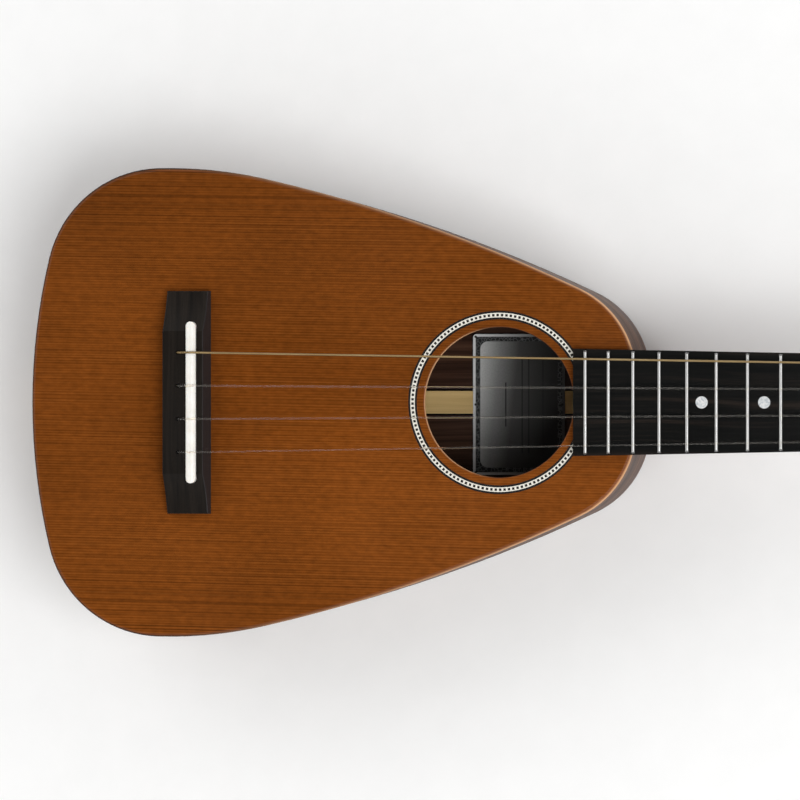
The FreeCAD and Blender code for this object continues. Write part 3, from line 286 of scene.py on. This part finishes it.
def cedar_tones_and_painted_shade(s, colour, half):
    """Fibres, broad clouds, a fine mottle, and painted shade that leaves the treble side a little paler than
    the bass side.
    """
    fibre = s.noise(s.stretched(60, 3600, 1, half), detail=3, roughness=0.7)
    colour = s.mix(0.5, colour, s.shade(colour, s.tint(fibre, 0.80, 1.18)))
    cloud = s.noise(s.stretched(10, 16, 1), detail=3)
    colour = s.shade(colour, s.ramp(cloud, (0.32, 0.84), (0.68, 1.12)))
    mottle = s.noise(s.stretched(230, 420, 1, half), detail=2)
    colour = s.shade(colour, s.tint(mottle, 0.86, 1.15))
    # painted shade: the bass side darker, the treble side paler
    return s.shade(colour, s.grey(s.span(s.axis("Y"), PAINTED_SHADE_REACH, -PAINTED_SHADE_REACH, 0.93, 1.08)))


def cedar_edges(s, colour, rings):
    """The rounded edge is matt: pale end grain with a painted highlight where it faces the neck,
    and painted shade as a dark outline elsewhere.
    """
    up, ahead = s.facing("Z"), s.facing("X")
    # pale end grain with a painted highlight, only where the edge faces the neck
    end_grain_painted_highlight = s.multiply(s.span(up, 0.93, 0.6), s.span(ahead, -0.05, 0.45, 0.0, 0.85))
    colour = s.mix(end_grain_painted_highlight, colour, CEDAR_RIM_PAINTED_HIGHLIGHT)
    # painted shade: a dark outline where the edge does not face the neck
    painted_shade_outline = s.multiply(s.span(up, 0.92, 0.6), s.span(ahead, 0.35, 0.0))
    colour = s.mix(painted_shade_outline, colour, CEDAR_OUTLINE_PAINTED_SHADE)
    smear = s.noise(s.stretched(14, 9, 9), detail=2)
    gloss = s.mix(s.span(up, 0.998, 0.93), s.grey(s.vary(smear, 0.15, 0.24)), (0.7, 0.7, 0.7))
    return s.finish(Base_Color=colour, Roughness=gloss, Specular_IOR_Level=0.22,
                    Normal=s.bump(rings, 0.1, FINE_RELIEF))


def streaked_wood(target, scale, dark, middle, light, pores=0.4, gloss=(0.15, 0.3), coat=0.3, shine=0.4):
    """Hardwood: scale is the pattern's fineness along X, Y and Z, so the smallest is the grain's way.
    target is a new material's name, or a Shader to fill."""
    s = target if isinstance(target, Shader) else Shader(target)
    wander = s.noise(s.stretched(9, 9, 9), detail=2)
    offset = s.node("VectorMath", inputs={0: s.vector(wander, wander, wander), 1: [WOOD_BEND] * 3},
                    operation="MULTIPLY")
    bent = s.node("VectorMath", inputs={0: s.place, 1: offset}, operation="ADD")
    figure = s.noise(s.stretched(*scale, bent), detail=5, roughness=0.6)
    fine = s.noise(s.stretched(*(4.5 * value for value in scale)), detail=3, roughness=0.7)
    colour = s.ramp(figure, (0.32, dark), (0.5, middle), (0.68, light))
    colour = s.mix(pores, colour, s.shade(colour, s.ramp(fine, (0.38, 0.35), (0.5, 1.0))))
    smear = s.noise(s.stretched(16, 16, 16), detail=2)
    return s.finish(Base_Color=colour, Roughness=s.vary(smear, *gloss), Specular_IOR_Level=shine,
                    Coat_Weight=coat, Coat_Roughness=0.07, Normal=s.bump(fine, 0.24, FINE_RELIEF))


def bare_wood(name, scale, dark, light):
    """Unfinished sanded wood with fine streaks."""
    s = Shader(name)
    streak = s.noise(s.stretched(*scale), detail=5, roughness=0.65)
    fuzz = s.noise(s.stretched(900, 900, 900), detail=2)
    return s.finish(Base_Color=s.ramp(streak, (0.3, dark), (0.65, light)), Roughness=s.vary(fuzz, 0.6, 0.8),
                    Specular_IOR_Level=0.3, Normal=s.bump(streak, 0.25, FINE_RELIEF))


def back_with_strip_lines():
    """The rosewood back with the two thin black lines that border the pale strip on its inner face."""
    s = Shader("rosewood_back")
    streaked_wood(s, (3, 210, 60), **ROSEWOOD)
    low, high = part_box("back_inner_strip")
    line = s.span(s.absolute(s.axis("Y")), high.y + STRIP_LINE, high.y + STRIP_LINE - SOFT)
    inner_face = s.span(s.axis("Z"), *(low.z - depth for depth in STRIP_LINE_DEPTHS))
    return s.repaint(s.multiply(line, inner_face), STRIP_LINE_BLACK)


def bridge_ebony():
    """Ebony with its grain along Y, and a painted highlight that makes the slope facing the neck paler."""
    s = Shader("ebony_across")
    streaked_wood(s, (330, 9, 90), **BRIDGE_EBONY, gloss=(0.36, 0.48), coat=0.0, shine=0.15)
    # painted highlight where the surface faces the neck
    return s.repaint(s.span(s.facing("X"), 0.05, 0.22), EBONY_SLOPE_PAINTED_HIGHLIGHT)


# ---- other materials ----
def bone():
    s = Shader("bone")
    mottle = s.noise(s.stretched(160, 160, 160), detail=4)
    pores = s.noise(s.stretched(2200, 500, 2200), detail=2)
    return s.finish(Base_Color=s.tint(mottle, **BONE), Roughness=s.vary(pores, 0.22, 0.36),
                    Subsurface_Weight=0.08, Subsurface_Radius=(0.002, 0.0015, 0.001), Subsurface_Scale=0.3,
                    Normal=s.bump(pores, 0.08, THIN_RELIEF))


def metal(name, colour, tarnish, roughness, wear, brushed=(40, 1800, 1800), painted_shade_flanks=None):
    """Plated or drawn metal with brush lines, a little tarnish in patches and, if asked, flanks darkened by
    painted shade.
    """
    s = Shader(name)
    lines = s.noise(s.stretched(*brushed), detail=3, roughness=0.6)
    patches = s.noise(s.stretched(110, 110, 110), detail=4, roughness=0.65)
    tint = s.mix(s.span(patches, 0.42, 0.75, 0.0, wear), colour, tarnish)
    # painted shade on the sides, where the surface turns away from the top
    if painted_shade_flanks:
        tint = s.mix(s.span(s.facing("Z"), 0.8, 0.5), tint, painted_shade_flanks)
    gloss = s.add(s.vary(lines, roughness - 0.06, roughness + 0.06), s.span(patches, 0.45, 0.75, 0.0, 0.12))
    return s.finish(Base_Color=tint, Metallic=1.0, Roughness=gloss, Normal=s.bump(lines, 0.1, HAIR_RELIEF))


def pearl():
    s = Shader("pearl")
    swirl = s.noise(s.stretched(420, 420, 420), detail=3, distortion=1.6)
    colour = s.ramp(swirl, (0.3, PEARL_BLUE), (0.5, PEARL_GREY), (0.68, PEARL_WARM))
    return s.finish(Base_Color=colour, Roughness=s.vary(swirl, 0.14, 0.3), Coat_Weight=0.6,
                    Coat_Roughness=0.05, Sheen_Weight=0.15, Thin_Film_Thickness=320.0)


def wound_string():
    """Fine metal wire wrapped round a core: ridges square to the string, with painted shade in the grooves
    between them.
    """
    s = Shader("wound_gold")
    wrap = s.node("TexWave", inputs={"Vector": s.place, "Scale": 1050.0, "Distortion": 0.0},
                  wave_type="BANDS", bands_direction="X", wave_profile="SIN")
    patches = s.noise(s.stretched(60, 400, 400), detail=3)
    # painted shade in the grooves between the turns
    colour = s.mix(s.span(wrap, 0.0, 0.5, 0.6, 0.0), s.tint(patches, **WIRE), WIRE_GAP_PAINTED_SHADE)
    return s.finish(Base_Color=colour, Metallic=0.85, Roughness=s.vary(patches, 0.34, 0.46),
                    Normal=s.bump(wrap, 0.6, WRAP_RELIEF))


def clear_string():
    """Translucent plastic line: it shows what lies behind it, with a thin glint along the top."""
    s = Shader("clear_string")
    ripple = s.noise(s.stretched(300, 3000, 3000), detail=2)
    return s.finish(Base_Color=s.tint(ripple, **CLEAR_LINE), Roughness=s.vary(ripple, 0.04, 0.07), IOR=1.12,
                    Transmission_Weight=0.975, Specular_IOR_Level=0.16)


def button_black():
    """Moulded black with dust-fine scratches and slightly worn patches."""
    s = Shader("button_black")
    scratches = s.noise(s.stretched(900, 60, 900), detail=3, roughness=0.7)
    patches = s.noise(s.stretched(45, 45, 45), detail=3)
    return s.finish(Base_Color=s.ramp(patches, (0.35, BUTTON_BLACK), (0.7, BUTTON_WORN)),
                    Roughness=s.span(scratches, 0.35, 0.7, 0.12, 0.3), Coat_Weight=0.35,
                    Coat_Roughness=0.05, Normal=s.bump(scratches, 0.04, THIN_RELIEF))


def rosette_paint(name, dark, light, roughness):
    s = Shader(name)
    fibre = s.noise(s.stretched(1500, 1500, 1500), detail=3)
    return s.finish(Base_Color=s.tint(fibre, dark, light), Coat_Weight=0.4, Coat_Roughness=0.08,
                    Roughness=s.vary(fibre, roughness, roughness + 0.1))


def floor_paper():
    s = Shader("floor_paper")
    grain = s.noise(s.stretched(60, 60, 60), detail=4)
    return s.finish(Base_Color=s.tint(grain, **PAPER), Roughness=0.85, Specular_IOR_Level=0.2)


# ---- the label ----
def inside(s, value, edge):
    """1 where the value is less than the edge, with a soft step."""
    return s.span(value, edge + SOFT, edge - SOFT)


def outside(s, value, edge):
    """1 where the value is more than the edge, with a soft step."""
    return s.span(value, edge - SOFT, edge + SOFT)


def rounded_panel(s, wide, tall, half):
    """1 on the panel with rounded corners inside the border."""
    straight_x, straight_y = (side - PANEL_INSET - PANEL_CORNER for side in (half.x, half.y))
    over_x = s.math("MAXIMUM", s.subtract(wide, straight_x), 0.0)
    over_y = s.math("MAXIMUM", s.subtract(tall, straight_y), 0.0)
    return inside(s, s.length(over_x, over_y), PANEL_CORNER)


def printed_rules(s, x, tall):
    """1 on the plain rules across the panel: each has a place along X and a length along Y."""
    rules = 0.0
    for place, length in LABEL_RULES:
        beside = s.absolute(s.subtract(x, place))
        rule = s.multiply(inside(s, beside, RULE_WIDTH / 2), inside(s, tall, length / 2))
        rules = s.math("MAXIMUM", rules, rule)
    return rules


def label_pins(s, wide, tall, pin_x, pin_y):
    """1 on small round pins in the four corners and in the middle of the two long edges."""
    distances = [s.length(s.subtract(wide, pin_x), s.subtract(tall, y)) for y in (0.0, pin_y)]
    return inside(s, s.math("MINIMUM", *distances), PIN_RADIUS)


def label_card():
    """Printed gloss card: silver edge with small black pins, a dark border with fine curls, and a panel with
    plain rules across it. Painted reflection and shade fade the panel from silver to black and the silver
    edge to dark: brightest towards the tail and the bass side, darkest towards the neck and the treble side."""
    s = Shader("label_card")
    low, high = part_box("label")
    centre, half = (low + high) / 2, (high - low) / 2
    x, y = s.subtract(s.axis("X"), centre.x), s.subtract(s.axis("Y"), centre.y)
    wide, tall = s.absolute(x), s.absolute(y)
    # painted reflection and shade: brightest towards the tail and the bass side, darkest towards the neck and
    # the treble side
    fade = s.add(s.span(x, -half.x, half.x), s.span(y, half.y, -half.y, -0.06, 0.10))
    speckle = s.noise(s.stretched(1400, 1400, 1400), detail=2)
    plain = s.ramp(fade, *LABEL_PAINTED_REFLECTION_FADE)
    panel = s.mix(0.4, plain, s.shade(plain, s.tint(speckle, 0.75, 1.2)))
    panel = s.mix(printed_rules(s, x, tall), panel, LABEL_INK)
    curls = s.node("TexVoronoi", output="Distance", inputs={"Vector": s.place, "Scale": 620.0},
                   feature="DISTANCE_TO_EDGE")
    border = s.mix(s.ramp(curls, (0.03, 1.0), (0.10, 0.0)), BORDER_DARK, BORDER_CURL)
    colour = s.mix(rounded_panel(s, wide, tall, half), border, panel)
    edge_x, edge_y = half.x - SILVER_EDGE, half.y - SILVER_EDGE
    edge = s.math("MAXIMUM", outside(s, wide, edge_x), outside(s, tall, edge_y))
    # the silver edge fades to dark under the same painted reflection and shade
    colour = s.mix(edge, colour, s.ramp(fade, (0.0, EDGE_PAINTED_HIGHLIGHT), (0.9, EDGE_PAINTED_SHADE)))
    colour = s.mix(label_pins(s, wide, tall, edge_x, edge_y), colour, LABEL_PIN)
    return s.finish(Base_Color=colour, Roughness=s.vary(speckle, 0.28, 0.4), Coat_Weight=0.2,
                    Coat_Roughness=0.08, Normal=s.bump(speckle, 0.05, HAIR_RELIEF))


# ---- which node gets which material ----
MATERIALS = {
    "cedar_top": cedar(),
    "rosewood_back": back_with_strip_lines(),
    "rosewood_side": streaked_wood("rosewood_side", (5, 5, 260), **SIDE_ROSEWOOD, gloss=(0.34, 0.46),
                                   coat=0.0, shine=0.05),
    "ebony_along": streaked_wood("ebony_along", (7, 300, 90), **EBONY, gloss=(0.34, 0.48),
                                 coat=0.0, shine=0.10),
    "ebony_across": bridge_ebony(),
    "mahogany": streaked_wood("mahogany", (5, 170, 170), **MAHOGANY, pores=0.6, gloss=(0.26, 0.4)),
    "maple": streaked_wood("maple", (10, 240, 60), **MAPLE, pores=0.15),
    "pale_strip": bare_wood("pale_strip", (14, 420, 300), **PALE_STRIP),
    "lining_wood": bare_wood("lining_wood", (12, 12, 420), **LINING_WOOD),
    "block_wood": bare_wood("block_wood", (180, 180, 8), **BLOCK_WOOD),
    "brace_wood": bare_wood("brace_wood", (90, 90, 500), **BRACE_WOOD),
    "bone": bone(),
    "pearl": pearl(),
    "fret_silver": metal("fret_silver", SILVER, SILVER_TARNISH, roughness=0.30, wear=0.35,
                         brushed=(900, 25, 900), painted_shade_flanks=SILVER_FLANKS_PAINTED_SHADE),
    "nickel": metal("nickel", NICKEL, NICKEL_TARNISH, roughness=0.2, wear=0.6),
    "brass_gear": metal("brass_gear", BRASS, BRASS_TARNISH, roughness=0.28, wear=0.7),
    "wound_gold": wound_string(),
    "clear_string": clear_string(),
    "button_black": button_black(),
    "label_card": label_card(),
    "rosette_black": rosette_paint("rosette_black", **ROSETTE_BLACK, roughness=0.25),
    "rosette_white": rosette_paint("rosette_white", **ROSETTE_WHITE, roughness=0.22),
}

NODE_MATERIALS = {
    "cedar_top": ["soundboard"],
    "rosewood_back": ["back_bass_half", "back_treble_half"],
    "rosewood_side": ["side_bass", "side_treble"],
    "maple": ["back_centre_inlay", "tail_graft"],
    "pale_strip": ["back_inner_strip"],
    "lining_wood": ["top_linings", "back_linings"],
    "block_wood": ["neck_block", "tail_block"],
    "brace_wood": ["bridge_patch", "face_braces", "fan_braces", "back_braces"],
    "ebony_along": ["fretboard", "headstock_veneer", "heel_cap"],
    "ebony_across": ["bridge"],
    "bone": ["saddle", "nut"],
    "mahogany": ["neck"],
    "fret_silver": ["frets"],
    "pearl": ["fret_dots", "side_dots"],
    "nickel": ["tuner_plates", "tuner_bushings", "tuner_screws"]
              + [f"{part}_{s}" for s in STRINGS for part in ("worm", "post", "gear_screw")],
    "brass_gear": [f"gear_{s}" for s in STRINGS],
    "button_black": [f"button_{s}" for s in STRINGS],
    "wound_gold": ["string_g", "winding_g"],
    "clear_string": [f"{part}_{s}" for s in STRINGS[1:] for part in ("string", "winding")],
    "rosette_black": ["rosette_lines"],
    "rosette_white": ["rosette_band"],
    "label_card": ["label"],
}


def paint_nodes():
    for material, names in NODE_MATERIALS.items():
        for name in names:
            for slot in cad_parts[name].material_slots:
                slot.material = MATERIALS[material]


# ---- the piece made here ----
def new_piece(name, mesh, body, materials, replaced):
    piece = bpy.data.objects.new(name, mesh)
    bpy.context.scene.collection.objects.link(piece)
    for material in materials:
        mesh.materials.append(MATERIALS[material])
    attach(piece, body)
    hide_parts(*replaced)


def chequer_ring():
    """The rosette's white ring with black edges and a row of black squares along its middle."""
    low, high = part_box("rosette_band")
    centre = (low + high) / 2
    outer = (high.x - low.x) / 2
    inner = outer - RING_WIDTH
    middle = (inner + outer) / 2
    radii = (inner, inner + RING_LINE, middle - SQUARE / 2, middle + SQUARE / 2, outer - RING_LINE, outer)
    cells = len(radii) - 1
    edge_cells, square_cell = (0, cells - 1), cells // 2
    squares = round(2 * math.pi * middle / SQUARE_PITCH)
    count = 2 * squares
    work = bmesh.new()
    rows = []
    for k in range(count):
        angle = 2 * math.pi * (k // 2 + k % 2 * SQUARE_SHARE) / squares
        across = [centre + Vector((r * math.cos(angle), r * math.sin(angle), 0)) for r in radii]
        top = [work.verts.new((p.x, p.y, high.z)) for p in across]
        bottom = [work.verts.new((p.x, p.y, low.z)) for p in (across[0], across[-1])]
        rows.append((top, bottom))
    for k in range(count):
        (top, bottom), (next_top, next_bottom) = rows[k], rows[(k + 1) % count]
        for cell in range(cells):
            face = work.faces.new((top[cell], top[cell + 1], next_top[cell + 1], next_top[cell]))
            black = cell in edge_cells or (cell == square_cell and k % 2 == 0)
            face.material_index = 1 if black else 0
        work.faces.new((bottom[0], top[0], next_top[0], next_bottom[0]))
        work.faces.new((top[-1], bottom[1], next_bottom[1], next_top[-1]))
        work.faces.new((bottom[1], bottom[0], next_bottom[0], next_bottom[1]))
    mesh = bpy.data.meshes.new("rosette_chequer")
    work.to_mesh(mesh)
    work.free()
    new_piece("rosette_chequer", mesh, "frame", ("rosette_white", "rosette_black"),
              ["rosette_band"])


# ---- camera, light and floor ----
def make_camera():
    data = bpy.data.cameras.new("camera")
    data.sensor_width = CAMERA_SENSOR
    data.lens = CAMERA_LENS
    data.clip_start, data.clip_end = CAMERA_CLIP
    camera = bpy.data.objects.new("camera", data)
    bpy.context.scene.collection.objects.link(camera)
    right = Vector((math.cos(CAMERA_TILT), 0, -math.sin(CAMERA_TILT)))
    up = Vector((0, 1, 0))
    back = Vector((math.sin(CAMERA_TILT), 0, math.cos(CAMERA_TILT)))
    turn = Matrix((right, up, back)).transposed().to_4x4()
    camera.matrix_world = Matrix.Translation(CAMERA_TARGET + CAMERA_DISTANCE * back) @ turn
    bpy.context.scene.camera = camera


def area_light(name, place, size, power):
    data = bpy.data.lights.new(name, "AREA")
    data.shape = "RECTANGLE"
    data.size = data.size_y = size
    data.energy = power
    lamp = bpy.data.objects.new(name, data)
    lamp.location = place
    lamp.rotation_mode = "QUATERNION"
    lamp.rotation_quaternion = (LIGHT_TARGET - Vector(place)).to_track_quat("-Z", "Y")
    bpy.context.scene.collection.objects.link(lamp)


def make_world():
    """Bright at the horizon and dark overhead, so that flat gloss faces stay deep in colour from above."""
    world = bpy.data.worlds.new("studio")
    world.use_nodes = True
    tree = world.node_tree
    place = tree.nodes.new("ShaderNodeTexCoord")
    split = tree.nodes.new("ShaderNodeSeparateXYZ")
    fade = tree.nodes.new("ShaderNodeMapRange")
    fade.interpolation_type = "SMOOTHSTEP"
    fade.inputs["From Min"].default_value = math.sin(SKY_FADE_LOW)
    fade.inputs["From Max"].default_value = math.sin(SKY_FADE_HIGH)
    fade.inputs["To Min"].default_value = SKY_BRIGHT
    fade.inputs["To Max"].default_value = SKY_DARK
    background = tree.nodes["Background"]
    background.inputs["Color"].default_value = (1.0, 1.0, 1.0, 1.0)
    tree.links.new(place.outputs["Generated"], split.inputs["Vector"])
    tree.links.new(split.outputs["Z"], fade.inputs["Value"])
    tree.links.new(fade.outputs["Result"], background.inputs["Strength"])
    bpy.context.scene.world = world


def make_floor():
    mesh = bpy.data.meshes.new("floor")
    corners = [(-1, -1), (1, -1), (1, 1), (-1, 1)]
    mesh.from_pydata([(x * FLOOR_HALF, y * FLOOR_HALF, FLOOR_Z) for x, y in corners], [], [(0, 1, 2, 3)])
    mesh.materials.append(floor_paper())
    floor = bpy.data.objects.new("floor", mesh)
    bpy.context.scene.collection.objects.link(floor)


make_camera()
make_world()
area_light(**KEY_LIGHT)
area_light(**FILL_LIGHT)
make_floor()
paint_nodes()
chequer_ring()
bpy.context.scene.view_settings.view_transform = "Standard"
